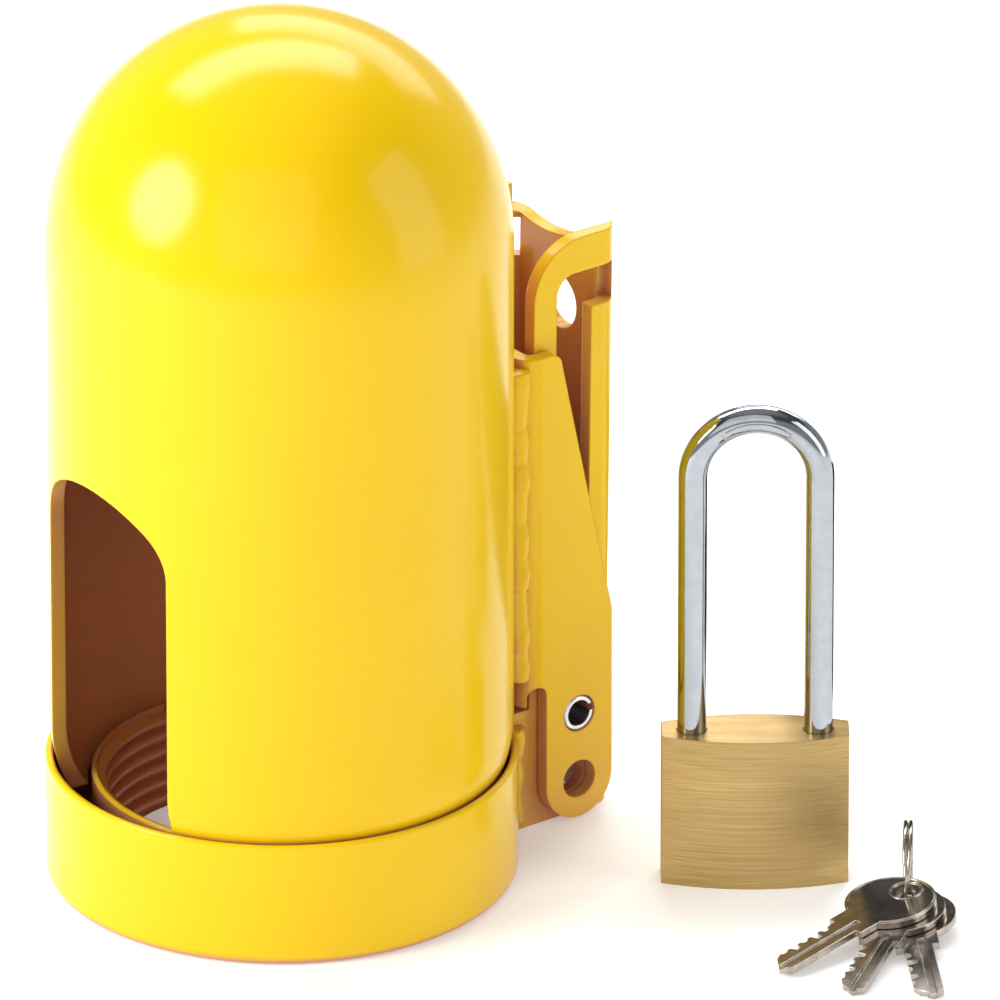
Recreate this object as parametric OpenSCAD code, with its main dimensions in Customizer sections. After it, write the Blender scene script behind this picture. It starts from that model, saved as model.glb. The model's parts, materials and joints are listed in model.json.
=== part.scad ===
// Lockable valve hood for a compressed-gas cylinder, with its padlock and keys.
// A domed steel hood carries a bracket whose cross pin slides up a slotted guide
// post. The post is welded to a base cup, and the cup's threaded collar screws onto
// the cylinder's neck. The padlock's shackle goes through the lock hole.
// Frame: origin at the centre of the base's underside, +Z up, +X towards the guide
// post, -X towards the hood's window, Y along the cross pin. Millimetres.

/* [Hood] */
// Outer diameter of the hood
hood_d = 99; // [98:0.5:99.5]
// Wall of the hood
hood_wall = 3.2; // [2.6:0.1:3.6]
// Height of the dome's top above the underside of the base
hood_top = 196.2; // [185:0.1:215]
// Height of the hood's lower edge
hood_edge_z = 20.5; // [20.5:0.5:22]
// Width of the window
window_w = 43; // [34:1:46]
// Height of the window's rounded top
window_top = 101.4; // [90:0.1:110]

/* [Base] */
// Outer diameter of the base cup
cup_d = 101; // [101:0.5:104]
// Height of the base cup
cup_h = 28; // [24:0.5:28]
// Sheet thickness of the base cup
cup_wall = 1.7; // [1.2:0.1:1.7]
// Outer diameter of the threaded collar
collar_d = 81.5; // [80:0.5:82]
// Height of the threaded collar
collar_h = 23.9; // [18:0.1:24]
// Minor diameter of the neck thread
thread_minor_d = 75.4; // [74:0.1:77]
// Width of each spanner notch in the collar
notch_w = 8; // [5:0.5:10]

/* [Guide post] */
// Thickness of the bent plates
plate = 3.2; // [2.8:0.1:3.4]
// Height of the guide post
post_h = 134.5; // [130:0.5:140]
// Distance of the post's web face from the hood's axis
post_face_x = 76.8; // [76:0.1:80]
// Width of the guide post over its flanges
post_w = 34.8; // [33:0.2:35]
// Width of the slots that the cross pin slides in
slot_w = 9.4; // [8.8:0.1:10]
// Height of the top of the slots
slot_top = 126.5; // [122:0.5:127]
// Outward lean of the post, in degrees
post_lean = 0.8; // [0:0.1:1.2]
// Diameter of the hole in the post's web
hang_hole_d = 12.5; // [8:0.5:16]

/* [Hood bracket] */
// Width over the bracket's two ears
ears_w = 42; // [41.8:0.1:44]
// Distance of the cross pin from the hood's axis
pin_x = 64.2; // [63:0.1:65]
// Height of the cross pin
pin_z = 25; // [24.5:0.1:27]
// Diameter of the cross pin
pin_d = 8.4; // [7:0.1:8.6]
// Height of the lock hole
lock_hole_z = 9.5; // [9.2:0.1:10.5]
// Diameter of the lock hole
lock_hole_d = 8.6; // [7:0.1:9]
// Height of the ears' top edge
ear_top = 111; // [100:0.5:114]

/* [Padlock] */
// Width of the padlock's body
lock_w = 40; // [40:0.5:44]
// Height of the padlock's body
lock_h = 34.5; // [34:0.5:38]
// Thickness of the body at its middle
lock_t = 14.7; // [14:0.1:16]
// Thickness of the body at its sides
lock_side_t = 7.5; // [7:0.1:9.5]
// Diameter of the shackle's bar
shackle_d = 6.2; // [6:0.05:6.5]
// Distance between the axes of the shackle's legs
shackle_pitch = 27; // [26:0.5:28]
// Height of the shackle above the body
shackle_reach = 75.5; // [40:0.5:90]

/* [Keys] */
// Diameter of a key's bow
bow_d = 19.6; // [19:0.1:22]
// Thickness of a key
key_t = 1.5; // [1.4:0.1:1.6]
// Distance from the bow's centre to the key's tip
key_reach = 34.3; // [33:0.1:35]
// Outer diameter of the split ring
ring_d = 19.5; // [19:0.1:20]

/* [Hidden] */
$fn = 96;
eps = 0.02;
paint = [0.96, 0.82, 0.06];
brass = [0.76, 0.62, 0.38];
nickel = [0.72, 0.72, 0.70];
zinc = [0.80, 0.81, 0.83];

hood_r = hood_d / 2;
dome_z = hood_top - hood_r;
neck_bend_r = 30;            // the hood's lower edge necks in on this radius
neck_z = 36;                 // and starts to do so here
window_half = window_w / 2;
window_rise = 15.5;          // the window's arch rises this far over its sides
window_corner_r = 12.5;      // its outer arcs, tangent to the sides
window_arc_r = (pow(window_half - window_corner_r, 2) + pow(window_rise, 2) - pow(window_corner_r, 2))
    / (2 * (window_rise - window_corner_r));
window_turn = -2.5;          // the window stands a little off the X axis
cup_r = cup_d / 2;
cup_corner_r = 2.2;
collar_r = collar_d / 2;
thread_r = thread_minor_d / 2;
notch_depth = 3;
notch_turn = -4;             // the notches stand a little off the Y axis
collar_bead_r = 2.6;

post_y = post_w / 2;
post_bend_r = 4.8;           // outside radius of the post's bends
post_edge_x = 53.4;          // free edges of the post's flanges
post_foot_z = 27.5;          // the feet reach in to the cup below this height
post_arch_r = 13;            // round at the flanges' top inner corners
saddle_r = 28.6;
saddle_y = 5.5;              // the saddle sits towards the far flange
saddle_z = 126.6;            // its lowest point
slot_r = slot_w / 2;
slot_bottom = pin_z - pin_d / 2 - 0.3;
side_notch_h = 8.9;          // the slots run out sideways over this height
hang_hole_z = 111.9;         // along the leaning post

ear_y = ears_w / 2;
ear_bend_r = 4.4;            // outside radius of the bracket's bends
bracket_z = 29.5;            // lower edge of the bracket's back plate
relief_z = 34;               // top of the relief between back plate and ears
strip_r = 8.9;               // half width of the ears' lower strip
bead_out = 3.1;              // how far the weld beads reach

pin_bore_r = 2.95;
pin_slit = 1.7;

lock_at = [76.3, -66.2, 0];  // the padlock stands here
lock_turn = -37.2;           // turned this far about Z
leg_x = shackle_pitch / 2;
leg_r = shackle_d / 2;
leg_hole_r = leg_r + 0.1;
toe_z = 23;                  // lower end of the short leg
heel_z = 7;                  // lower end of the long leg
heel_neck_r = 2.2;           // the long leg is turned down to this radius
heel_neck = [9, 23.8];       // from here to here
plug_r = 5;
plug_bore_r = plug_r + 0.05;
plug_z = [0.6, 22.4];
cam_top = 24.2;
cam_chamber_z = 24.6;
bolt_z = 28.2;               // height of the locking bolt's axis
bolt_r = 2.75;
bolt_bore_r = bolt_r + 0.05;
bolt_travel = 2.2;
bolt_nose_x = leg_x - leg_r - 0.3;
bolt_tail_x = -3.4;
stud_r = 0.8;
stud_orbit = bolt_travel / sqrt(2);
chamber_r = 1.3;
chamber_step = 3;
chamber_zs = [for (i = [0 : 4]) 4.2 + i * chamber_step];
key_cuts = [1.4, 2.3, 1.0, 1.9, 0.8];
retaining_r = 1;
shackle_pin_z = 22.2;
plug_pin_z = 19.6;
groove_depth = 1.2;
driver_len = 4;
chamber_plug_len = 2.6;

wire_d = 1.2;
ring_r = (ring_d - wire_d) / 2;
ring_w = 2.2;
key_gap = 0.15;
key_hole_r = 2.95;
key_hole_back = 4.75;        // the hole stands this far behind the bow's centre
blade_w = 6.4;
shoulder_x = 13.6;
shoulder_w = 9.4;
keys_at = [88.04, -103.93, 2.4]; // the keys' common hole, at the lowest key's underside
keys_lean = [-0.38, -7.23, 0];   // the stack leans from the ring down to the tips
key_turns = [-122.3, -147.7, -174]; // blade directions from the lowest key to the top one
ring_turn = 50;              // direction of the ring's plane
ring_back = 6.7;             // the ring's centre stands this far behind the hole
ring_aside = 0.24;           // and this far to its side

// ---------- hood ----------

// Half section of a domed shell's solid shape of radius r, open below low_z
module dome_half(r, bend_r, low_z) {
    intersection() {
        union() {
            translate([0, dome_z]) circle(r);
            translate([0, neck_z]) square([r, dome_z - neck_z]);
            translate([r - bend_r, neck_z]) circle(bend_r);
            translate([0, low_z]) square([r - bend_r, neck_z - low_z + 1]);
        }
        translate([0, low_z]) square([r, hood_top]);
    }
}

// Outline of the window, seen from -X: straight sides and a three-centred arch
module window_outline() {
    side_z = window_top - window_rise;
    arc_z = window_top - window_arc_r;
    corner_y = window_half - window_corner_r;
    reach = 2 * window_rise / (side_z - arc_z);
    translate([-window_half, hood_edge_z - 1]) square([window_w, side_z - hood_edge_z + 1]);
    for (s = [-1, 1]) translate([s * corner_y, side_z]) circle(window_corner_r);
    translate([-corner_y, side_z - 1]) square([2 * corner_y, window_corner_r]);
    intersection() {
        translate([0, arc_z]) circle(window_arc_r, $fn = 180);
        polygon([[0, arc_z], [-corner_y * (1 + reach), arc_z + (side_z - arc_z) * (1 + reach)],
                 [corner_y * (1 + reach), arc_z + (side_z - arc_z) * (1 + reach)]]);
    }
}

module hood_shell() {
    color(paint) difference() {
        rotate_extrude($fn = 180) difference() {
            dome_half(hood_r, neck_bend_r, hood_edge_z);
            dome_half(hood_r - hood_wall, neck_bend_r - hood_wall, hood_edge_z - 1);
        }
        rotate(window_turn) rotate([90, 0, -90]) linear_extrude(hood_d) window_outline();
    }
}

// Plan section of the bent bracket: a back plate against the hood and two ears
module bracket_section(front_x) {
    back_x = hood_r;
    difference() {
        union() {
            translate([back_x, -ear_y + ear_bend_r]) square([front_x - back_x, ears_w - 2 * ear_bend_r]);
            translate([back_x + ear_bend_r, -ear_y]) square([front_x - back_x - ear_bend_r, ears_w]);
            for (s = [-1, 1])
                translate([back_x + ear_bend_r, s * (ear_y - ear_bend_r)]) circle(ear_bend_r);
        }
        translate([back_x + plate, -ear_y + ear_bend_r]) square([front_x, ears_w - 2 * ear_bend_r]);
        translate([back_x + ear_bend_r, -ear_y + plate]) square([front_x, ears_w - 2 * plate]);
        for (s = [-1, 1])
            translate([back_x + ear_bend_r, s * (ear_y - ear_bend_r)]) circle(ear_bend_r - plate);
    }
}

// Side outline of the bracket, X across and Z up
module ear_outline() {
    strip_front = pin_x + strip_r;
    strip_back = pin_x - strip_r;
    corner_r = 3;
    difference() {
        union() {
            translate([hood_r - 1, relief_z - 3]) square([strip_front - hood_r + 1, 47.5 - relief_z + 3]);
            polygon([[hood_r - 1, 47], [strip_front, 47.5], [59.5, ear_top - corner_r],
                     [57, ear_top - 1], [56.5, ear_top], [hood_r - 1, ear_top]]);
            translate([56.5, ear_top - corner_r]) circle(corner_r);
            translate([strip_back, lock_hole_z]) square([2 * strip_r, relief_z - lock_hole_z]);
            translate([pin_x, lock_hole_z]) circle(strip_r);
        }
    }
}

module hood_bracket() {
    relief_r = 2.2;
    relief_x = pin_x - strip_r - relief_r;
    color(paint) difference() {
        union() {
            intersection() {
                linear_extrude(ear_top) bracket_section(pin_x + strip_r + 1);
                translate([0, ear_y + 1, 0]) rotate([90, 0, 0])
                    linear_extrude(ears_w + 2) ear_outline();
            }
            translate([0, 0, bracket_z]) linear_extrude(relief_z - bracket_z)
                intersection() {
                    bracket_section(pin_x);
                    translate([hood_r, -ear_y]) square([plate, ears_w]);
                }
        }
        for (s = [-1, 1]) {
            translate([relief_x, s * ear_y, relief_z - relief_r]) rotate([90, 0, 0])
                cylinder(h = 2 * plate + 2, r = relief_r, center = true);
            translate([relief_x - relief_r, s * ear_y - plate - 1, 0])
                cube([2 * relief_r, 2 * plate + 2, relief_z - relief_r]);
        }
        for (hole = [[pin_z, pin_d], [lock_hole_z, lock_hole_d]])
            translate([pin_x, 0, hole[0]]) rotate([90, 0, 0])
                cylinder(h = ears_w + 2, d = hole[1], center = true);
    }
}

// Fillet beads that fill the wedge between the hood and the bracket's bends
module bracket_welds() {
    bead_h = ear_top - relief_z - 5;
    color(paint) for (s = [-1, 1])
        translate([0, 0, relief_z + 2]) linear_extrude(bead_h) difference() {
            translate([hood_r - 1.6, s * (ear_y - 4.2)]) circle(bead_out);
            circle(hood_r, $fn = 180);
            translate([hood_r, -ear_y + ear_bend_r]) square([hood_d, ears_w - 2 * ear_bend_r]);
            translate([hood_r + ear_bend_r, -ear_y]) square([hood_d, ears_w]);
            translate([hood_r + ear_bend_r, s * (ear_y - ear_bend_r)]) circle(ear_bend_r);
        }
}

// Slotted spring pin, its slit facing outwards
module cross_pin() {
    length = ears_w - 0.2;
    color(zinc) translate([pin_x, 0, pin_z]) difference() {
        rotate([90, 0, 0]) cylinder(h = length, d = pin_d, center = true);
        rotate([90, 0, 0]) cylinder(h = length + 2, r = pin_bore_r, center = true);
        rotate([0, -12, 0]) translate([0, -length, -pin_slit / 2]) cube([pin_d, 2 * length, pin_slit]);
    }
}

// ---------- base ----------

module base_cup() {
    rim_r = cup_wall / 2;
    color(paint) rotate_extrude($fn = 180) difference() {
        union() {
            translate([collar_r, 0]) square([cup_r - cup_corner_r - collar_r, cup_wall]);
            translate([cup_r - cup_corner_r, cup_corner_r]) circle(cup_corner_r);
            translate([cup_r - cup_wall, cup_corner_r]) square([cup_wall, cup_h - rim_r - cup_corner_r]);
            translate([cup_r - rim_r, cup_h - rim_r]) circle(rim_r);
        }
        translate([cup_r - cup_corner_r, cup_corner_r]) circle(cup_corner_r - cup_wall);
        translate([cup_r - 2 * cup_corner_r, cup_wall])
            square([2 * cup_corner_r - cup_wall - (cup_corner_r - cup_wall), cup_h / 2]);
        translate([cup_r - 2 * cup_corner_r, cup_corner_r])
            square([2 * cup_corner_r - cup_wall, cup_h / 2]);
    }
}

module threaded_collar() {
    chamfer = 0.5;
    lead_in = 1.7;
    color(paint) difference() {
        rotate_extrude($fn = 180) polygon([
            [thread_r, 0], [collar_r, 0], [collar_r, collar_h - chamfer],
            [collar_r - chamfer, collar_h], [thread_r + lead_in, collar_h],
            [thread_r, collar_h - lead_in]]);
        rotate(notch_turn) translate([-notch_w / 2, -cup_r, collar_h - notch_depth])
            cube([notch_w, cup_d, notch_depth + 1]);
    }
}

module collar_weld() {
    color(paint) rotate_extrude($fn = 180) intersection() {
        translate([collar_r, cup_wall]) circle(collar_bead_r);
        translate([collar_r, cup_wall]) square(collar_bead_r + 1);
    }
}

// ---------- guide post ----------

// Plan section of the post: a channel whose web faces outwards
module post_section(back_x) {
    bend_x = post_face_x - post_bend_r;
    bend_y = post_y - post_bend_r;
    difference() {
        union() {
            translate([back_x, -post_y]) square([bend_x - back_x, post_w]);
            translate([back_x, -bend_y]) square([post_face_x - back_x, 2 * bend_y]);
            for (s = [-1, 1]) translate([bend_x, s * bend_y]) circle(post_bend_r);
        }
        translate([back_x - 1, -post_y + plate]) square([bend_x - back_x + 1, post_w - 2 * plate]);
        translate([back_x - 1, -bend_y]) square([post_face_x - plate - back_x + 1, 2 * bend_y]);
        for (s = [-1, 1]) translate([bend_x, s * bend_y]) circle(post_bend_r - plate);
    }
}

// Side outline of the post with its inward feet and arched top, X across and Z up
module post_outline() {
    foot_back_x = 44;
    difference() {
        union() {
            translate([post_edge_x, -1]) square([post_face_x - post_edge_x + 1, post_h + 1]);
            translate([foot_back_x, -1]) square([post_edge_x - foot_back_x + 1, post_foot_z + 1]);
        }
        translate([post_edge_x, post_h - post_arch_r]) difference() {
            translate([-1, 0]) square(post_arch_r + 1);
            translate([post_arch_r, 0]) circle(post_arch_r);
        }
    }
}

// Leans its children outwards about the cross pin's axis
module lean_post() {
    translate([pin_x, 0, pin_z]) rotate([0, post_lean, 0]) translate([-pin_x, 0, -pin_z]) children();
}

module guide_post() {
    slot_h = slot_top - slot_bottom;
    color(paint) difference() {
        lean_post() difference() {
            intersection() {
                translate([0, 0, -1]) linear_extrude(post_h + 1) post_section(44);
                translate([0, post_y + 1, 0]) rotate([90, 0, 0]) linear_extrude(post_w + 2) post_outline();
            }
            // Saddle that the tipped hood lies in
            translate([post_face_x - post_bend_r, saddle_y, saddle_z + saddle_r]) rotate([0, 90, 0])
                cylinder(h = post_bend_r + 1, r = saddle_r, $fn = 120);
            // Slots, with their run-outs at the top
            translate([pin_x - slot_r, -post_w, slot_bottom + slot_r])
                cube([slot_w, 2 * post_w, slot_h - 2 * slot_r]);
            for (z = [slot_bottom + slot_r, slot_top - slot_r])
                translate([pin_x, 0, z]) rotate([90, 0, 0])
                    cylinder(h = 2 * post_w, r = slot_r, center = true);
            for (s = [-1, 1])
                translate([pin_x, s * post_y - plate - 1, slot_top - side_notch_h])
                    cube([post_face_x - pin_x - 1.2, 2 * plate + 2, side_notch_h]);
            translate([post_face_x, 0, hang_hole_z]) rotate([0, 90, 0])
                cylinder(h = 4 * plate, d = hang_hole_d, center = true);
        }
        translate([0, 0, -1]) cylinder(h = post_foot_z + 2, r = cup_r, $fn = 180);
        translate([0, -post_w, -10]) cube([2 * post_face_x, 2 * post_w, 10]);
        translate([pin_x, 0, lock_hole_z]) rotate([90, 0, 0])
            cylinder(h = 2 * post_w, d = lock_hole_d, center = true);
    }
}

// Beads between the post's feet and the cup
module post_welds() {
    color(paint) for (s = [-1, 1])
        translate([0, 0, 2.5]) linear_extrude(post_foot_z - 5) difference() {
            translate([48.2, s * post_y]) circle(bead_out);
            circle(cup_r, $fn = 180);
            translate([40, -post_y]) square([30, post_w]);
        }
}

// ---------- padlock ----------

module at_padlock() {
    translate(lock_at) rotate(lock_turn) children();
}

// Body outline in plan: flat sides and two slightly curved faces
module padlock_plan() {
    bulge = (lock_t - lock_side_t) / 2;
    face_r = (pow(lock_w / 2, 2) + pow(bulge, 2)) / (2 * bulge);
    intersection() {
        square([lock_w, lock_t + 2], center = true);
        translate([0, face_r - lock_t / 2]) circle(face_r, $fn = 360);
        translate([0, lock_t / 2 - face_r]) circle(face_r, $fn = 360);
    }
}

// Cross pins that enter from the back face
module retaining_pin(x, z, from_y, r) {
    intersection() {
        translate([x, from_y, z]) rotate([-90, 0, 0]) cylinder(h = lock_t, r = r);
        linear_extrude(lock_h) padlock_plan();
    }
}

module padlock_body() {
    color(brass) at_padlock() difference() {
        linear_extrude(lock_h) padlock_plan();
        translate([-leg_x, 0, 2.4]) cylinder(h = lock_h, r = leg_hole_r);
        translate([leg_x, 0, toe_z - 0.8]) cylinder(h = lock_h, r = leg_hole_r);
        translate([0, 0, -1]) cylinder(h = cam_chamber_z + 1, r = plug_bore_r);
        translate([0, 0, cam_chamber_z - 1]) cylinder(h = bolt_z - cam_chamber_z + 1, r = 2.7);
        translate([bolt_tail_x - 0.6, 0, bolt_z]) rotate([0, 90, 0])
            cylinder(h = lock_w, r = bolt_bore_r);
        for (z = chamber_zs) translate([0, 0, z]) rotate([0, 90, 0]) cylinder(h = lock_w, r = chamber_r);
        retaining_pin(-leg_x + heel_neck_r + retaining_r + 0.15, shackle_pin_z, -2.6, retaining_r);
        retaining_pin(-plug_r + 0.15, plug_pin_z, -2.6, retaining_r);
    }
}

module shackle() {
    top_z = lock_h + shackle_reach - leg_r;
    bend_z = top_z - leg_x;
    color(zinc) at_padlock() difference() {
        union() {
            translate([leg_x, 0, toe_z]) cylinder(h = bend_z - toe_z, r = leg_r);
            translate([-leg_x, 0, heel_neck[1]]) cylinder(h = bend_z - heel_neck[1], r = leg_r);
            translate([-leg_x, 0, heel_z]) cylinder(h = heel_neck[1] - heel_z, r = heel_neck_r);
            translate([-leg_x, 0, heel_z]) cylinder(h = heel_neck[0] - heel_z, r = leg_r);
            translate([0, 0, bend_z]) rotate([90, 0, 0])
                rotate_extrude(angle = 180, $fn = 120) translate([leg_x, 0]) circle(leg_r);
        }
        // Pocket that the locking bolt enters
        translate([bolt_nose_x, 0, bolt_z]) rotate([0, 90, 0])
            cylinder(h = bolt_travel + 0.6, r = bolt_r + 0.35);
    }
}

module shackle_spring() {
    low_z = 2.6;
    coils = 4;
    coil_d = 0.8;
    step = (heel_z - low_z - coil_d) / (coils - 1);
    color(zinc) at_padlock() for (i = [0 : coils - 1])
        translate([-leg_x, 0, low_z + coil_d / 2 + i * step])
            rotate_extrude() translate([2, 0]) circle(d = coil_d, $fn = 24);
}

// The plug is drawn with the keyway's pins towards +X and turned to the open position
module at_plug() {
    at_padlock() rotate(90) children();
}

module cylinder_plug() {
    color(brass) at_plug() difference() {
        translate([0, 0, plug_z[0]]) cylinder(h = plug_z[1] - plug_z[0], r = plug_r);
        translate([-blade_w / 2 - 0.9, -1, 0]) cube([blade_w + 0.2, 2, plug_z[1] - 1]);
        for (z = chamber_zs) translate([0, 0, z]) rotate([0, 90, 0]) cylinder(h = plug_r + 1, r = chamber_r);
        translate([0, 0, plug_pin_z]) rotate_extrude()
            translate([plug_r - groove_depth, -retaining_r - 0.1])
                square([groove_depth + 1, 2 * retaining_r + 0.2]);
    }
}

module plug_cam() {
    color(zinc) at_plug() {
        translate([0, 0, plug_z[1]]) cylinder(h = cam_top - plug_z[1], r = plug_r - 0.3);
        rotate(45) translate([stud_orbit, 0, cam_top - eps]) cylinder(h = bolt_z - cam_top - 1.2, r = stud_r);
    }
}

module locking_bolt() {
    yoke_x = -stud_orbit / sqrt(2);
    nose_r = 4.5;
    color(zinc) at_padlock() difference() {
        intersection() {
            translate([bolt_tail_x, 0, bolt_z]) rotate([0, 90, 0])
                cylinder(h = bolt_nose_x - bolt_tail_x, r = bolt_r);
            translate([bolt_nose_x - nose_r, 0, bolt_z]) union() {
                sphere(nose_r);
                translate([-lock_w, -nose_r, -nose_r]) cube([lock_w, 2 * nose_r, 2 * nose_r]);
            }
        }
        translate([yoke_x - stud_r - 0.2, -bolt_r - 1, bolt_z - bolt_r - 1])
            cube([2 * stud_r + 0.4, 2 * bolt_r + 2, bolt_r + 0.4]);
    }
}

module bolt_bore_plug() {
    start_x = leg_x + leg_hole_r + 0.3;
    color(brass) at_padlock() translate([start_x, 0, bolt_z]) rotate([0, 90, 0])
        cylinder(h = lock_w / 2 - start_x, r = bolt_bore_r);
}

module key_pins() {
    pin_r = chamber_r - 0.05;
    outer_x = plug_r - 0.22;
    color(brass) at_plug() for (i = [0 : 4])
        translate([outer_x, 0, chamber_zs[i]]) rotate([0, -90, 0]) {
            cylinder(h = 1.6 + key_cuts[i] - 0.8, r = pin_r);
            translate([0, 0, 0.8 + key_cuts[i]]) cylinder(h = 0.8, r1 = pin_r, r2 = 0.5);
        }
}

module driver_pins() {
    color(nickel) at_padlock() for (z = chamber_zs)
        translate([plug_r + 0.1, 0, z]) rotate([0, 90, 0]) cylinder(h = driver_len, r = chamber_r - 0.05);
}

module pin_springs() {
    from_x = plug_r + 0.1 + driver_len;
    to_x = lock_w / 2 - chamber_plug_len;
    coils = 6;
    coil_d = 0.45;
    step = (to_x - from_x - coil_d) / (coils - 1);
    color(zinc) at_padlock() for (z = chamber_zs) for (i = [0 : coils - 1])
        translate([from_x + coil_d / 2 + i * step, 0, z]) rotate([0, 90, 0])
            rotate_extrude($fn = 32) translate([0.95, 0]) circle(d = coil_d, $fn = 16);
}

module chamber_plugs() {
    color(brass) at_padlock() for (z = chamber_zs)
        translate([lock_w / 2 - chamber_plug_len, 0, z]) rotate([0, 90, 0])
            cylinder(h = chamber_plug_len, r = chamber_r);
}

module plug_retaining_pin() {
    color(brass) at_padlock() retaining_pin(-plug_r + 0.15, plug_pin_z, -2.6, retaining_r);
}

module shackle_retaining_pin() {
    color(brass) at_padlock()
        retaining_pin(-leg_x + heel_neck_r + retaining_r + 0.15, shackle_pin_z, -2.6, retaining_r);
}

// ---------- keys ----------

// Places the fanned stack: origin at the common hole, blades lie along +X before turning
module in_stack(level) {
    translate(keys_at) rotate(keys_lean) translate([0, 0, level * (key_t + key_gap)])
        rotate(key_turns[level]) children();
}

// Flat key with the hole's centre at the origin and its cuts towards -Y
module key_blank() {
    half = blade_w / 2;
    shoulder = key_hole_back + shoulder_x;
    tip = key_hole_back + key_reach;
    bitting = [for (i = [0 : 4]) for (p = [[-1.1, 0.3], [-0.5, key_cuts[i]], [0.5, key_cuts[i]], [1.1, 0.3]])
        [shoulder + 3.6 + i * chamber_step + p[0], p[1] - half]];
    difference() {
        linear_extrude(key_t) difference() {
            union() {
                translate([key_hole_back, 0]) circle(d = bow_d);
                translate([key_hole_back, -shoulder_w / 2]) square([shoulder_x, shoulder_w]);
                polygon(concat([[shoulder - 1, -half]], bitting,
                               [[tip - 2.2, 1.2 - half], [tip, half - 2.4], [tip - 1.5, half],
                                [shoulder - 1, half]]));
            }
            circle(key_hole_r);
        }
        // Milled grooves along the blade
        translate([shoulder - 3, 0.2, key_t - 0.45]) cube([key_reach, 1.5, 1]);
        translate([shoulder - 3, -1.6, -1 + 0.45]) cube([key_reach, 1.3, 1]);
    }
}

module key_top() { color(nickel) in_stack(2) key_blank(); }

module key_middle() { color(nickel) in_stack(1) key_blank(); }

module key_bottom() { color(nickel) in_stack(0) key_blank(); }

module split_ring() {
    centre = [keys_at[0] + ring_back * cos(ring_turn), keys_at[1] + ring_back * sin(ring_turn), ring_d / 2];
    side = (ring_w - wire_d) / 2;
    color(zinc) translate(centre) rotate(ring_turn) translate([0, ring_aside, 0]) rotate([90, 0, 0])
        rotate_extrude($fn = 120) translate([ring_r, 0]) {
            square([wire_d, 2 * side], center = true);
            for (s = [-1, 1]) translate([0, s * side]) circle(d = wire_d, $fn = 32);
        }
}

base_cup();
threaded_collar();
collar_weld();
guide_post();
post_welds();
hood_shell();
hood_bracket();
bracket_welds();
cross_pin();
padlock_body();
shackle();
cylinder_plug();
plug_cam();
locking_bolt();
bolt_bore_plug();
shackle_spring();
key_pins();
driver_pins();
pin_springs();
chamber_plugs();
plug_retaining_pin();
shackle_retaining_pin();
split_ring();
key_top();
key_middle();
key_bottom();
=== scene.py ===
"""Looks for the lockable gas-cylinder valve hood, its padlock and its keys."""
import json
import math

import bmesh
import bpy
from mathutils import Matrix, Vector


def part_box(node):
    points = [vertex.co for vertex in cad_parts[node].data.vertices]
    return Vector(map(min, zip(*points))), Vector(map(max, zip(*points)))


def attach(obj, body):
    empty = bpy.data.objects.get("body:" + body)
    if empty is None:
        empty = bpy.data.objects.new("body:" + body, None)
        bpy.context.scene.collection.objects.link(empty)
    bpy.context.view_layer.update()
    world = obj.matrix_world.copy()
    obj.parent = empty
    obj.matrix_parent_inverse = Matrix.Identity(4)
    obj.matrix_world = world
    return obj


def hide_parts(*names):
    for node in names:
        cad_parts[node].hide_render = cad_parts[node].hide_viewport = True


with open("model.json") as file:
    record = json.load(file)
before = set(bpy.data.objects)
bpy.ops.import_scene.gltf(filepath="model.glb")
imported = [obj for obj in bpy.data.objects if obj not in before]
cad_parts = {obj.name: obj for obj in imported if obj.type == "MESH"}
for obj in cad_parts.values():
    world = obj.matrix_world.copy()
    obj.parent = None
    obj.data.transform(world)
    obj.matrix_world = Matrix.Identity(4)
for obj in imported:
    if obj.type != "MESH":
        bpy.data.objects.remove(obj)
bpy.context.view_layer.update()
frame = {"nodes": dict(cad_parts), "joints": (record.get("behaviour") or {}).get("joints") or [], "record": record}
MM = 0.001
TAU = 2 * math.pi
scene = bpy.context.scene


# ---------- places read from the frame ----------

def centre(node):
    low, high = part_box(node)
    return (Vector(low) + Vector(high)) / 2


def top_of(node):
    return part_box(node)[1][2]


JOINTS = {joint["name"]: joint for joint in frame["joints"]}


# ---------- camera ----------

VIEW_AZIMUTH = math.radians(-38.0)
VIEW_ELEVATION = math.radians(24.48)
VIEW_DISTANCE = 4.5
LENS = 762.9
SENSOR_WIDTH = 36
AIM_RIGHT = 46.53 * MM
AIM_UP = 85.68 * MM


def add_camera():
    """Adds the camera and returns the view's directions to its right and back towards it."""
    data = bpy.data.cameras.new("camera")
    data.lens = LENS
    data.sensor_width = SENSOR_WIDTH
    data.clip_end = 50
    camera = bpy.data.objects.new("camera", data)
    right = Vector((math.cos(VIEW_AZIMUTH), math.sin(VIEW_AZIMUTH), 0))
    back = Vector((math.sin(VIEW_AZIMUTH) * math.cos(VIEW_ELEVATION),
                   -math.cos(VIEW_AZIMUTH) * math.cos(VIEW_ELEVATION),
                   math.sin(VIEW_ELEVATION)))
    aim = right * AIM_RIGHT + Vector((0, 0, AIM_UP))
    camera.location = aim + back * VIEW_DISTANCE
    camera.rotation_euler = back.to_track_quat("Z", "Y").to_euler()
    scene.collection.objects.link(camera)
    scene.camera = camera
    return right, back


# ---------- materials ----------

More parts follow.
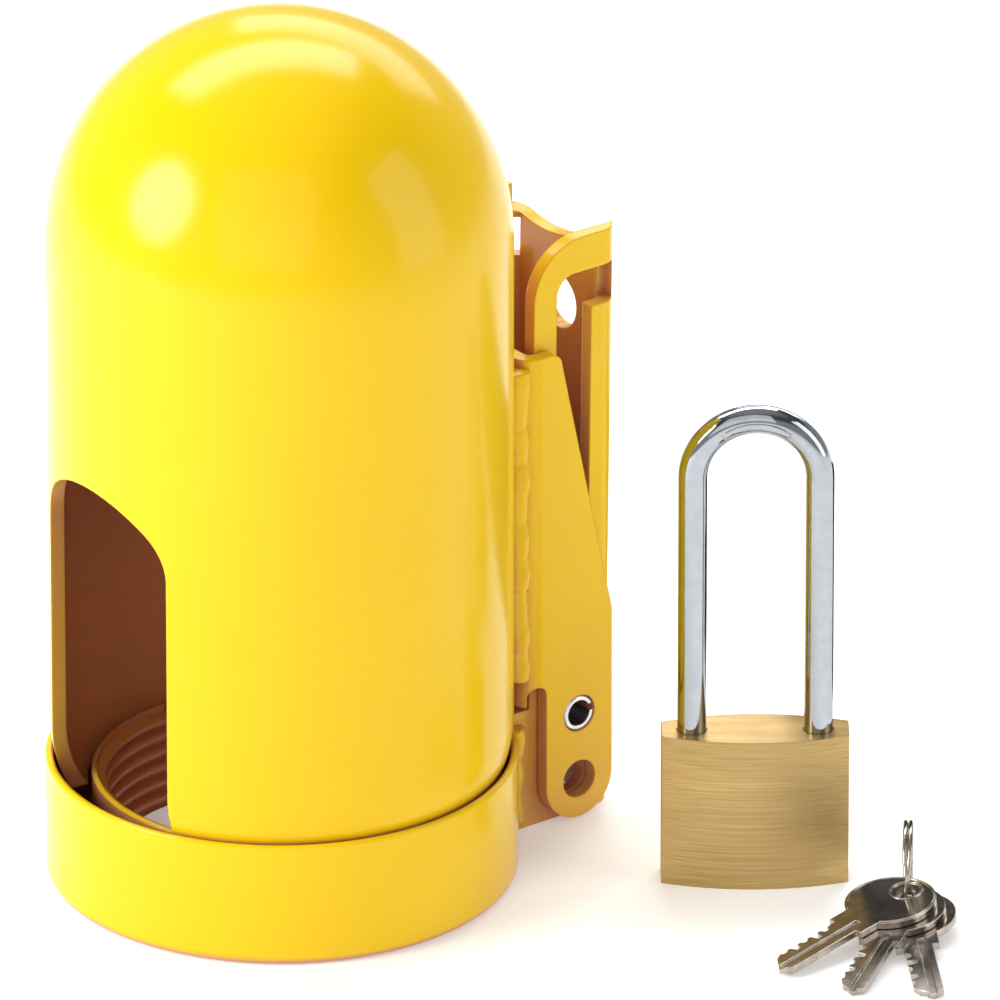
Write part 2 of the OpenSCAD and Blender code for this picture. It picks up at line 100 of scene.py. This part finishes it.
class Graph:
    """Small helper that adds nodes to one material."""

    def __init__(self, name):
        self.material = bpy.data.materials.new(name)
        self.material.use_nodes = True
        self.tree = self.material.node_tree
        self.shader = self.tree.nodes["Principled BSDF"]

    def add(self, kind, inputs=None, **settings):
        node = self.tree.nodes.new(kind)
        for key, value in settings.items():
            setattr(node, key, value)
        for key, value in (inputs or {}).items():
            self.set(node.inputs[key], value)
        return node

    def set(self, socket, value):
        if isinstance(value, bpy.types.NodeSocket):
            self.tree.links.new(value, socket)
        else:
            socket.default_value = value

    def noise(self, scale, detail=2.0, stretch=(1, 1, 1), roughness=0.5):
        place = self.add("ShaderNodeTexCoord").outputs["Object"]
        mapped = self.add("ShaderNodeMapping", {"Vector": place, "Scale": stretch}).outputs[0]
        return self.add("ShaderNodeTexNoise", {"Vector": mapped, "Scale": scale, "Detail": detail,
                                               "Roughness": roughness}).outputs["Fac"]

    def ramp(self, factor, stops):
        node = self.add("ShaderNodeValToRGB", {"Fac": factor})
        elements = node.color_ramp.elements
        while len(elements) < len(stops):
            elements.new(0.5)
        for element, (place, colour) in zip(elements, stops):
            element.position = place
            element.color = (*colour, 1)
        return node.outputs["Color"]

    def span(self, factor, low, high):
        return self.add("ShaderNodeMapRange", {"Value": factor, "To Min": low, "To Max": high}).outputs[0]

    def bump(self, height, depth, normal=None, strength=1.0):
        inputs = {"Height": height, "Distance": depth, "Strength": strength}
        if normal is not None:
            inputs["Normal"] = normal
        return self.add("ShaderNodeBump", inputs).outputs[0]

    def mix(self, factor, first, second, blend="MIX"):
        node = self.add("ShaderNodeMix", data_type="RGBA", blend_type=blend)
        for place, value in ((0, factor), (6, first), (7, second)):
            self.set(node.inputs[place], (*value, 1) if isinstance(value, tuple) else value)
        return node.outputs[2]

    def enclosure(self, open_share, closed_share, only_local):
        """How enclosed a point is, from 0 at one open share of its surroundings to 1 at another."""
        node = self.add("ShaderNodeAmbientOcclusion", {"Distance": 0.12}, samples=8, only_local=only_local)
        return self.add("ShaderNodeMapRange", {"Value": node.outputs["AO"], "From Min": open_share,
                                               "From Max": closed_share}).outputs[0]

    def edge(self, radius):
        """Rounds sharp edges in the shading, as paint and wear do."""
        return self.add("ShaderNodeBevel", {"Radius": radius}, samples=6).outputs[0]

    def finish(self, **values):
        for key, value in values.items():
            self.set(self.shader.inputs[key.replace("_", " ")], value)
        return self.material


# Painted shade: brown standing in for the dim, yellow-bounced light in recesses and inside the hood.
PAINTED_SHADE_BROWN = (0.56, 0.23, 0.115)


def paint_material():
    """Yellow paint with painted shade: tinted brown where the surface is enclosed, by its own object or by all of
    them, where shade falls.
    """
    g = Graph("yellow_powder_coat")
    lit = g.ramp(g.noise(14, 3), [(0.3, (0.88, 0.555, 0.002)), (0.7, (0.90, 0.58, 0.003))])
    # Painted shade masks from ambient occlusion: enclosure by the object itself, and by all objects.
    painted_shade_own = g.enclosure(0.85, 0.4, only_local=True)
    painted_shade_all = g.enclosure(0.42, 0.2, only_local=False)
    # The stronger mask sets how far the painted shade turns the yellow brown.
    painted_shade_share = g.add("ShaderNodeMath", {0: painted_shade_own, 1: painted_shade_all}, operation="MAXIMUM").outputs[0]
    colour = g.mix(painted_shade_share, lit, PAINTED_SHADE_BROWN)
    peel = g.noise(420, 2)
    specks = g.noise(2600, 1)
    normal = g.bump(peel, 0.00006, g.edge(0.0007), 0.55)
    normal = g.bump(specks, 0.00001, normal, 0.3)
    return g.finish(Base_Color=colour, Roughness=g.span(g.noise(60), 0.15, 0.22), IOR=1.5,
                    Specular_IOR_Level=0.3, Normal=normal)


def brass_material(lock_turn):
    """Brass with its grain running across the lock's faces, whichever way the lock stands."""
    g = Graph("brushed_brass")
    place = g.add("ShaderNodeTexCoord").outputs["Object"]
    turned = g.add("ShaderNodeVectorRotate", {"Vector": place, "Angle": -lock_turn},
                   rotation_type="Z_AXIS").outputs[0]

    def grain(scale, stretch, detail=3):
        mapped = g.add("ShaderNodeMapping", {"Vector": turned, "Scale": stretch}).outputs[0]
        noise = g.add("ShaderNodeTexNoise", {"Vector": mapped, "Scale": scale, "Detail": detail})
        return noise.outputs["Fac"]

    fine = grain(900, (0.03, 0.5, 4.5), 4)
    broad = grain(120, (0.2, 0.5, 1.5))
    colour = g.ramp(fine, [(0.25, (0.44, 0.30, 0.115)), (0.5, (0.53, 0.37, 0.155)),
                           (0.75, (0.62, 0.46, 0.22))])
    tint = g.ramp(broad, [(0.3, (0.88, 0.86, 0.82)), (0.7, (1, 1, 1))])
    mixed = g.mix(1.0, colour, tint, "MULTIPLY")
    normal = g.bump(fine, 0.00003, g.edge(0.0004), 0.6)
    return g.finish(Base_Color=mixed, Metallic=0.92, Roughness=g.span(broad, 0.38, 0.42),
                    Anisotropic=0.5, Normal=normal)


def metal_material(name, dark, light, smoothest, roughest):
    """Plated steel between two colours and two roughnesses."""
    g = Graph(name)
    wear = g.noise(350, 4)
    colour = g.ramp(wear, [(0.3, dark), (0.7, light)])
    normal = g.bump(g.noise(1500, 2), 0.000008, g.edge(0.0003), 0.4)
    return g.finish(Base_Color=colour, Metallic=1.0, Roughness=g.span(g.noise(90, 3), smoothest, roughest),
                    Normal=normal)


def floor_material():
    g = Graph("floor")
    shade = g.ramp(g.noise(3), [(0.0, (0.90, 0.90, 0.90)), (1.0, (0.92, 0.92, 0.92))])
    return g.finish(Base_Color=shade, Roughness=0.9, Emission_Color=shade, Emission_Strength=0.3)


def card_material():
    g = Graph("dark_card")
    shade = g.ramp(g.noise(4), [(0.0, (0.02, 0.02, 0.022)), (1.0, (0.04, 0.04, 0.042))])
    return g.finish(Base_Color=shade, Roughness=0.9)


# ---------- mesh helpers ----------

def new_object(name, verts, faces, material, smooth=True, angle=35):
    mesh = bpy.data.meshes.new(name)
    mesh.from_pydata([tuple(v) for v in verts], [], faces)
    mesh.validate()
    obj = bpy.data.objects.new(name, mesh)
    scene.collection.objects.link(obj)
    obj.data.materials.append(material)
    finish_normals(obj, smooth, angle)
    return obj


def finish_normals(obj, smooth, angle):
    """Turns the faces outwards and keeps the edges sharp where they bend more than the angle in degrees."""
    bm = bmesh.new()
    bm.from_mesh(obj.data)
    bmesh.ops.recalc_face_normals(bm, faces=bm.faces)
    for face in bm.faces:
        face.smooth = smooth
    limit = math.radians(angle)
    for edge in bm.edges:
        if len(edge.link_faces) == 2:
            edge.smooth = edge.calc_face_angle(0) < limit
    bm.to_mesh(obj.data)
    bm.free()


def ring_grid(rings, closed_rows=True):
    """Joins rings of equal length; the last meets the first, or both are capped as ends."""
    count = len(rings[0])
    verts = [v for ring in rings for v in ring]
    faces = []
    rows = len(rings) if closed_rows else len(rings) - 1
    for i in range(rows):
        for j in range(count):
            a = i * count + j
            b = i * count + (j + 1) % count
            c = ((i + 1) % len(rings)) * count + (j + 1) % count
            d = ((i + 1) % len(rings)) * count + j
            faces.append((a, b, c, d))
    if not closed_rows:
        faces += [tuple(first + j for j in range(count)) for first in (0, (len(rings) - 1) * count)]
    return verts, faces


def tube(name, path, radius, material, sides=16, closed=False, up=Vector((0, 0, 1))):
    """A round bar along a path; radius is a number or a function of the step from 0 to 1."""
    rings = []
    count = len(path)
    for i, point in enumerate(path):
        before = path[i - 1] if (i or closed) else path[0]
        after = path[(i + 1) % count] if (i < count - 1 or closed) else path[-1]
        along = (after - before).normalized()
        side = along.cross(up)
        if side.length < 1e-6:
            side = along.cross(Vector((1, 0, 0)))
        side.normalize()
        other = side.cross(along).normalized()
        r = radius(i / (count - 1)) if callable(radius) else radius
        rings.append([point + r * (math.cos(TAU * k / sides) * side + math.sin(TAU * k / sides) * other)
                      for k in range(sides)])
    verts, faces = ring_grid(rings, closed)
    return new_object(name, verts, faces, material)


def place_piece(obj, body, material_slot, *nodes):
    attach(obj, body)
    if nodes:
        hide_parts(*nodes)


def give(node, material):
    """Puts a procedural material on a CAD node that keeps its shape."""
    obj = frame["nodes"][node]
    for slot in obj.material_slots:
        slot.material = material
    if not obj.material_slots:
        obj.data.materials.append(material)


# ---------- pieces ----------

# Lengths in this section are in millimetres until MM scales them.
THREAD_PITCH = 25.4 / 7
COLLAR_OUTER, THREAD_CREST, THREAD_ROOT = 40.75, 37.7, 39.55
COLLAR_CHAMFER, COLLAR_LEAD_IN = 0.5, 1.9
NOTCH_WIDTH, NOTCH_DEPTH, NOTCH_ANGLES = 8, 3, (86, 266)


def thread_depth(z, theta):
    """Depth of the neck thread's trapezoid groove, from 0 on a crest to 1 at the root."""
    phase = (z / THREAD_PITCH - theta / TAU) % 1.0
    return min(1.0, max(0.0, (abs(phase - 0.5) - 0.14) / 0.2))


def add_threaded_collar(material):
    """Neck collar with its spanner notches and a thread cut as a real helix."""
    height = top_of("threaded_collar") / MM
    notch_floor = height - NOTCH_DEPTH
    notch_angles = [math.radians(angle) for angle in NOTCH_ANGLES]
    mid_wall = 39.2
    half_notch = math.asin(NOTCH_WIDTH / 2 / mid_wall)
    notch_wall = 0.0004    # half the turn, in radians, in which a notch's side drops
    around, steps = 288, 110
    angles = [TAU * k / around for k in range(around)]
    for middle in notch_angles:
        for side in (-1, 1):
            angles += [middle + side * (half_notch - notch_wall), middle + side * (half_notch + notch_wall)]
    rings = []
    for theta in sorted(angles):
        in_notch = any(abs(theta - middle) < half_notch for middle in notch_angles)
        section = [(COLLAR_OUTER, 0), (COLLAR_OUTER, height - COLLAR_CHAMFER),
                   (COLLAR_OUTER - COLLAR_CHAMFER, height)]
        for k in range(steps + 1):
            z = height * (1 - k / steps)
            lead_in = max(0.0, z - (height - COLLAR_LEAD_IN))
            groove = (THREAD_ROOT - THREAD_CREST) * thread_depth(z, theta)
            section.append((max(THREAD_CREST + groove, min(THREAD_CREST + lead_in, THREAD_ROOT)), z))
        limit = notch_floor if in_notch else height
        across, forward = math.cos(theta), math.sin(theta)
        rings.append([MM * Vector((r * across, r * forward, min(z, limit))) for r, z in section])
    verts, faces = ring_grid(rings)
    obj = new_object("collar_with_thread", verts, faces, material, angle=40)
    place_piece(obj, "base", "yellow_paint", "threaded_collar")


WELD_STEP = 0.35
# How far out, how far aside, the two ends' heights and the bead's radius
BRACKET_WELD = (49.0, 18.1, 36.5, 109, 3.1)
POST_WELD = (48.2, 17.3, 2.6, 25, 3.0)


def add_weld_bead(name, side, weld, body, material, seed):
    """A weld run up a corner, with its ripples softened by the paint."""
    x, aside, low_z, high_z, radius = weld
    count = int((high_z - low_z) / WELD_STEP)
    path = []
    for i in range(count + 1):
        z = low_z + (high_z - low_z) * i / count
        drift = 0.22 * math.sin(z * 0.31 + seed) + 0.15 * math.sin(z * 0.83 + 2 * seed)
        path.append(MM * Vector((x + 0.5 * drift, side * (aside + drift), z)))

    def size(step):
        z = step * (high_z - low_z)
        ripple = 0.018 * math.sin(z * 2.3 + seed) + 0.06 * math.sin(z * 0.57 + 1.7 * seed)
        ends = min(1.0, math.sqrt(max(0.0, min(z, high_z - low_z - z)) / 1.6) + 0.35)
        return MM * radius * (1 + ripple) * ends

    obj = tube(name, path, size, material, sides=20, up=Vector((1, 0, 0)))
    place_piece(obj, body, "yellow_paint")
    return obj


def add_welds(material):
    for name, side, seed in (("front", -1, 0.4), ("back", 1, 2.1)):
        hood_bead = add_weld_bead(f"bracket_weld_{name}", side, BRACKET_WELD, "hood", material, seed)
        post_bead = add_weld_bead(f"post_weld_{name}", side, POST_WELD, "base", material, seed + 1)
        if name == "front":
            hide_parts("bracket_welds")
            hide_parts("post_welds")


def add_cross_pin(material):
    """Slotted spring pin with chamfered ends."""
    middle = centre("cross_pin")
    low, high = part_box("cross_pin")
    reach = (high[1] - low[1]) / 2
    inner, outer, half_slit, turn = 2.95 * MM, 4.2 * MM, 0.85 * MM, math.radians(12)
    chamfer_in, chamfer_along = 0.55 * MM, 0.6 * MM
    steps = 56
    rings = []
    for offset, cut in ((-reach, chamfer_in), (-reach + chamfer_along, 0), (reach - chamfer_along, 0),
                        (reach, chamfer_in)):
        ring = []
        for radius, forward in ((outer - cut, True), (inner, False)):
            gap = math.asin(half_slit / radius)
            for k in range(steps + 1):
                share = k / steps if forward else 1 - k / steps
                angle = turn + gap + share * (TAU - 2 * gap)
                ring.append(Vector((middle.x + radius * math.cos(angle), middle.y + offset,
                                    middle.z + radius * math.sin(angle))))
        rings.append(ring)
    verts, faces = ring_grid(rings, closed_rows=False)
    faces = faces[:-2]    # the section is a C, so its ends are built from quads instead of two caps
    size = len(rings[0])
    for first in (0, (len(rings) - 1) * size):
        for k in range(steps):
            faces.append((first + k, first + k + 1, first + size - 2 - k, first + size - 1 - k))
    obj = new_object("slotted_spring_pin", verts, faces, material)
    place_piece(obj, "hood", "zinc_steel", "cross_pin")


def add_shackle_panel(lock_turn, material):
    """Raised border of the stamped panel on the shackle's crown."""
    middle = centre("shackle")
    bend, bar = 13.5 * MM, 3.1 * MM    # radii of the crown's centre line and of the bar
    skin = bar + 0.04 * MM
    crown = Vector((middle.x, middle.y, top_of("shackle") - bar - bend))
    across = Vector((math.cos(lock_turn), math.sin(lock_turn), 0))
    front = Vector((math.sin(lock_turn), -math.cos(lock_turn), 0))
    path = []
    count = 72
    for k in range(count):
        turn = TAU * k / count
        along = math.copysign(min(abs(1.35 * math.cos(turn)), 1.0), math.cos(turn))
        phi = math.radians(90 + 30 * along + 4 * math.cos(turn))
        psi = math.radians(106 + 17 * math.sin(turn))
        out = across * math.cos(phi) + Vector((0, 0, math.sin(phi)))
        path.append(crown + out * (bend + skin * math.cos(psi)) + front * skin * math.sin(psi))
    obj = tube("shackle_panel_border", path, 0.2 * MM, material, sides=8, closed=True)
    place_piece(obj, "padlock_shackle", "chrome_steel")


def add_split_ring(material):
    """A flat double coil of wire that steps over to its second turn."""
    middle = centre("split_ring")
    low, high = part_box("split_ring")
    wire, half_gap = 0.52 * MM, 0.56 * MM
    turns, step_start, step_length = 1.87, 0.8, 0.27
    radius = (high[2] - low[2]) / 2 - wire
    turn = math.radians(50)
    plane = Vector((math.cos(turn), math.sin(turn), 0))
    aside = Vector((-math.sin(turn), math.cos(turn), 0))
    count = 200
    path = []
    for k in range(count + 1):
        angle = turns * TAU * k / count
        step = min(1.0, max(0.0, (angle / TAU - step_start) / step_length))
        shift = half_gap * (2 * (3 * step ** 2 - 2 * step ** 3) - 1)
        place = angle + math.radians(200)
        spoke = math.cos(place) * plane + math.sin(place) * Vector((0, 0, 1))
        path.append(middle + radius * spoke + shift * aside)
    obj = tube("split_ring_wire", path, wire, material, sides=14, up=aside)
    place_piece(obj, "key_ring", "nickel", "split_ring")


KEY_THICKNESS, KEY_SPACING, HOLE_TO_BOW = 1.5, 1.65, 4.75
TOP_KEY_TURN = math.radians(-174)


def add_key_rims(material):
    """Raised borders round the top key's bow and its hole."""
    stack = JOINTS["first_key_swing"]
    hole = Vector(stack["pos_m"])
    up = Vector(stack["axis"]).normalized()
    level = hole + up * (2 * KEY_SPACING + KEY_THICKNESS) * MM
    lean = up.rotation_difference(Vector((0, 0, 1))).inverted()
    blade = lean @ Vector((math.cos(TOP_KEY_TURN), math.sin(TOP_KEY_TURN), 0))
    side = up.cross(blade)
    bow = level + blade * HOLE_TO_BOW * MM

    def rim(name, around, radius, start, end, count, thickness, closed=False):
        path = [around + radius * MM * (math.cos(a) * blade + math.sin(a) * side)
                for a in (start + (end - start) * k / (count if closed else count - 1) for k in range(count))]
        obj = tube(name, path, thickness * MM, material, sides=8, closed=closed, up=up)
        place_piece(obj, "first_key", "nickel")

    blade_gap = 0.52    # radians either side of the blade that the bow's rim leaves open
    rim("key_hole_rim", level, 3.55, 0, TAU, 40, 0.22, closed=True)
    rim("key_bow_rim", bow, 9.3, blade_gap, TAU - blade_gap, 72, 0.24)


# ---------- floor and light ----------

def add_floor(material):
    bpy.ops.mesh.primitive_plane_add(size=40, location=(0, 0, 0))
    floor = bpy.context.object
    floor.name = "floor"
    floor.data.materials.append(material)


def area_light(name, place, aim, width, height, power, shape="RECTANGLE"):
    data = bpy.data.lights.new(name, "AREA")
    data.shape = shape
    data.size = width
    data.size_y = height
    data.energy = power
    light = bpy.data.objects.new(name, data)
    light.location = place
    light.rotation_euler = (Vector(place) - Vector(aim)).to_track_quat("Z", "Y").to_euler()
    scene.collection.objects.link(light)


def add_world():
    """Bright near the horizon and overhead and darker between them, as in a studio with soft boxes."""
    world = bpy.data.worlds.new("world")
    world.use_nodes = True
    tree = world.node_tree
    place = tree.nodes.new("ShaderNodeTexCoord")
    height = tree.nodes.new("ShaderNodeSeparateXYZ")
    tree.links.new(place.outputs["Generated"], height.inputs[0])
    ramp = tree.nodes.new("ShaderNodeValToRGB")
    tree.links.new(height.outputs["Z"], ramp.inputs[0])
    stops = [(0.0, 1.0), (0.45, 0.85), (0.6, 0.2), (0.8, 0.3), (0.95, 0.9)]
    while len(ramp.color_ramp.elements) < len(stops):
        ramp.color_ramp.elements.new(0.5)
    for element, (position, level) in zip(ramp.color_ramp.elements, stops):
        element.position = position
        element.color = (level, level, level, 1)
    tree.links.new(ramp.outputs["Color"], tree.nodes["Background"].inputs["Color"])
    tree.nodes["Background"].inputs["Strength"].default_value = 0.42
    scene.world = world


def add_lights(right, back):
    flat_back = Vector((back.x, back.y, 0)).normalized()
    middle = Vector((0.02, -0.02, 0.1))

    def at(across, near, high):
        """A place given from the middle: to the view's right, towards the camera and up."""
        return middle + right * across + flat_back * near + Vector((0, 0, high))

    area_light("key", at(-1.2, 0.46, 0.64), middle, 0.85, 0.85, 19, shape="DISK")
    area_light("front", at(-0.25, 1.7, 1.1), middle, 1.8, 1.8, 8.5)
    area_light("fill", at(1.3, 0.35, 0.5), middle, 0.7, 1.2, 5)
    area_light("top", at(-0.15, -0.75, 1.15), middle, 1.5, 0.5, 15)
    area_light("back", at(0.35, -1.25, 0.7), middle, 1.3, 0.5, 5.5)


def add_dark_card(name, right, back, node, behind, across, heights, material):
    """A dark upright card behind a node, hidden from the camera, so that it shows only in reflections."""
    flat_back = Vector((back.x, back.y, 0)).normalized()
    place = centre(node)
    foot = Vector((place.x, place.y, 0)) - flat_back * behind
    corners = [foot + right * x + Vector((0, 0, z))
               for x, z in ((across[0], heights[0]), (across[1], heights[0]),
                            (across[1], heights[1]), (across[0], heights[1]))]
    card = new_object(name, corners, [(0, 1, 2, 3)], material, smooth=False)
    card.visible_camera = False
    card.visible_diffuse = False
    card.visible_shadow = False


# ---------- build ----------

right, back = add_camera()
scene.view_settings.view_transform = "Standard"
bolt_axis = JOINTS["bolt_slide"]["axis"]
lock_turn = math.atan2(bolt_axis[1], bolt_axis[0])

paint = paint_material()
brass = brass_material(lock_turn)
chrome = metal_material("chrome_plate", (0.39, 0.42, 0.45), (0.44, 0.47, 0.50), 0.05, 0.09)
nickel = metal_material("nickel_plate", (0.34, 0.30, 0.26), (0.52, 0.47, 0.42), 0.10, 0.22)
zinc = metal_material("bright_zinc", (0.62, 0.66, 0.72), (0.85, 0.87, 0.90), 0.15, 0.3)
SLOT_MATERIALS = {"yellow_paint": paint, "brass": brass, "chrome_steel": chrome, "nickel": nickel,
                  "zinc_steel": zinc}
for part in frame["record"]["subparts"]:
    give(part["node"], SLOT_MATERIALS[part["material_slot"]])

add_threaded_collar(paint)
add_welds(paint)
add_cross_pin(zinc)
add_shackle_panel(lock_turn, chrome)
add_split_ring(nickel)
add_key_rims(nickel)

add_floor(floor_material())
dark = card_material()
add_dark_card("card_behind_lock", right, back, "padlock_body", 0.11, (-0.004, 0.2), (0.0, 0.055), dark)
add_dark_card("card_behind_keys", right, back, "key_top", 0.06, (-0.012, 0.03), (0.028, 0.06), dark)
add_world()
add_lights(right, back)
